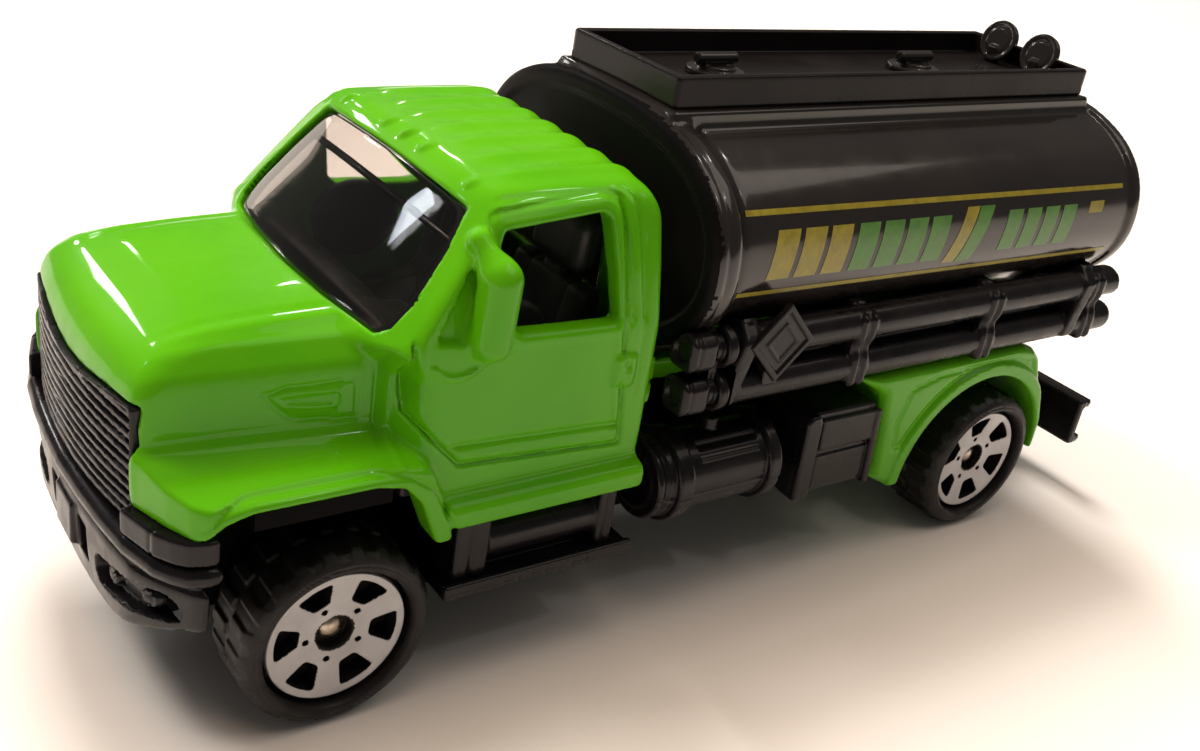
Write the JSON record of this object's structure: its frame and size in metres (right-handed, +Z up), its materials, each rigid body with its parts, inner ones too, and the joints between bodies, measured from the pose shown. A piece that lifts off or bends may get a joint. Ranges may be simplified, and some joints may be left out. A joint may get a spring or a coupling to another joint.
{
  "type": "toy tanker truck",
  "caption": "Small die-cast toy fuel tanker with a bright green bonneted cab, black tank, side pipes and free-rolling wheels.",
  "frame": {"origin": "centre of the footprint, on the surface the wheels stand on", "axes": "+X towards the nose, +Y to the truck's left side, +Z up"},
  "size_m": [0.0758, 0.0258, 0.0341],
  "materials": {
    "green_enamel": "high-gloss bright green enamel on a die-cast body",
    "tank_gloss": "glossy black moulded plastic",
    "chassis_black": "satin black moulded plastic",
    "cabin_black": "dull black moulded plastic",
    "glazing": "clear, lightly tinted moulded plastic glazing",
    "tyre_rubber": "satin black tyre",
    "silver_disc": "satin silver-grey wheel disc",
    "axle_steel": "plain steel"
  },
  "bodies": {
    "truck": {"cab_body": "green_enamel", "rear_frame": "green_enamel", "windscreen": "glazing", "rear_window": "glazing", "interior": "cabin_black", "steering_wheel": "cabin_black", "chassis_base": "chassis_black", "grille": "chassis_black", "front_bumper": "chassis_black", "headlamp_left": "chassis_black", "headlamp_right": "chassis_black", "step_box_left": "chassis_black", "step_box_right": "chassis_black", "fuel_tank_left": "chassis_black", "fuel_tank_right": "chassis_black", "toolbox_left": "chassis_black", "toolbox_right": "chassis_black", "rear_bumper": "chassis_black", "tank_shell": "tank_gloss", "coaming": "tank_gloss", "hatches": "tank_gloss", "vent_discs": "tank_gloss", "pipe_rack_left": "chassis_black", "pipe_rack_right": "chassis_black", "valves_left": "chassis_black", "valves_right": "chassis_black", "placard_left": "chassis_black", "placard_right": "chassis_black", "axle_front": "axle_steel", "axle_rear": "axle_steel", "rivets": "green_enamel"},
    "wheel_front_left": {"tyre_front_left": "tyre_rubber", "disc_front_left": "silver_disc"},
    "wheel_front_right": {"tyre_front_right": "tyre_rubber", "disc_front_right": "silver_disc"},
    "wheel_rear_left": {"tyre_rear_left": "tyre_rubber", "disc_rear_left": "silver_disc"},
    "wheel_rear_right": {"tyre_rear_right": "tyre_rubber", "disc_rear_right": "silver_disc"}
  },
  "joints": [
    {"name": "spin_front_left", "type": "hinge", "parent": "truck", "child": "wheel_front_left", "pos_m": [0.0273, 0.00995, 0.00535], "axis": [0, 1, 0], "continuous": true},
    {"name": "spin_front_right", "type": "hinge", "parent": "truck", "child": "wheel_front_right", "pos_m": [0.0273, -0.00995, 0.00535], "axis": [0, 1, 0], "continuous": true},
    {"name": "spin_rear_left", "type": "hinge", "parent": "truck", "child": "wheel_rear_left", "pos_m": [-0.0234, 0.00995, 0.00535], "axis": [0, 1, 0], "continuous": true},
    {"name": "spin_rear_right", "type": "hinge", "parent": "truck", "child": "wheel_rear_right", "pos_m": [-0.0234, -0.00995, 0.00535], "axis": [0, 1, 0], "continuous": true}
  ]
}
